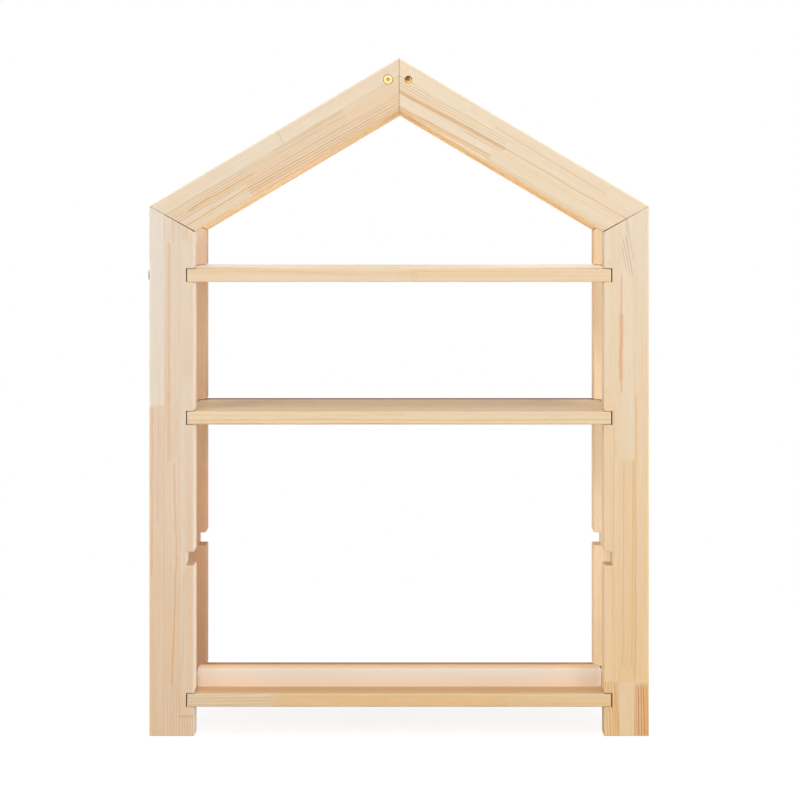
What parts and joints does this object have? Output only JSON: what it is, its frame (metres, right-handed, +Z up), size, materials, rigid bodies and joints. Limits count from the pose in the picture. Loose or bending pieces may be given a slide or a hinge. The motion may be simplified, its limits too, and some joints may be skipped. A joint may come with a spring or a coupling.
{
  "type": "house shaped bookcase",
  "caption": "Open bookcase for a child's room: house-shaped front and rear frames of laminated pine, plain shelves in slots, a ridge beam and a low rail on the bottom shelf.",
  "frame": {"origin": "on the floor, under the middle of the case's width and depth", "axes": "+Z up, along the case's height; -Y is the front of the case, +Y its back; +X is to the right as seen from the front"},
  "size_m": [0.7025, 0.24, 0.95],
  "materials": {
    "pine_frame": "untreated finger-jointed laminated pine, fine sanded, satin",
    "pine_board": "untreated edge-glued pine board, fine sanded, satin",
    "birch_rail": "pale birch without visible grain, rounded and fine sanded, satin",
    "brass_bolt": "yellow zinc plated, slightly worn",
    "steel_bolt": "zinc plated, satin",
    "beech_dowel": "fluted beech, untreated"
  },
  "bodies": {
    "case": {"front_left_post": "pine_frame", "front_right_post": "pine_frame", "rear_left_post": "pine_frame", "rear_right_post": "pine_frame", "front_left_rafter": "pine_frame", "front_right_rafter": "pine_frame", "rear_left_rafter": "pine_frame", "rear_right_rafter": "pine_frame", "ridge_beam": "pine_frame", "bottom_shelf": "pine_board", "top_shelf": "pine_board", "front_flush_ridge_bolt": "brass_bolt", "front_recessed_ridge_bolt": "brass_bolt", "rear_ridge_bolts": "brass_bolt", "ridge_inserts": "brass_bolt", "proud_shelf_bolt": "steel_bolt", "top_shelf_bolts": "steel_bolt", "bottom_shelf_bolts": "steel_bolt", "top_shelf_barrel_nuts": "steel_bolt", "bottom_shelf_barrel_nuts": "steel_bolt", "shelf_rail": "birch_rail", "rail_screws": "steel_bolt", "front_eave_dowels": "beech_dowel", "rear_eave_dowels": "beech_dowel", "front_ridge_dowels": "beech_dowel", "rear_ridge_dowels": "beech_dowel"},
    "loose_shelf": {"middle_shelf": "pine_board"}
  },
  "joints": [
    {"name": "middle_shelf_slide", "type": "slide", "parent": "case", "child": "loose_shelf", "axis": [0, -1, 0], "range_m": [0, 0.235]}
  ]
}
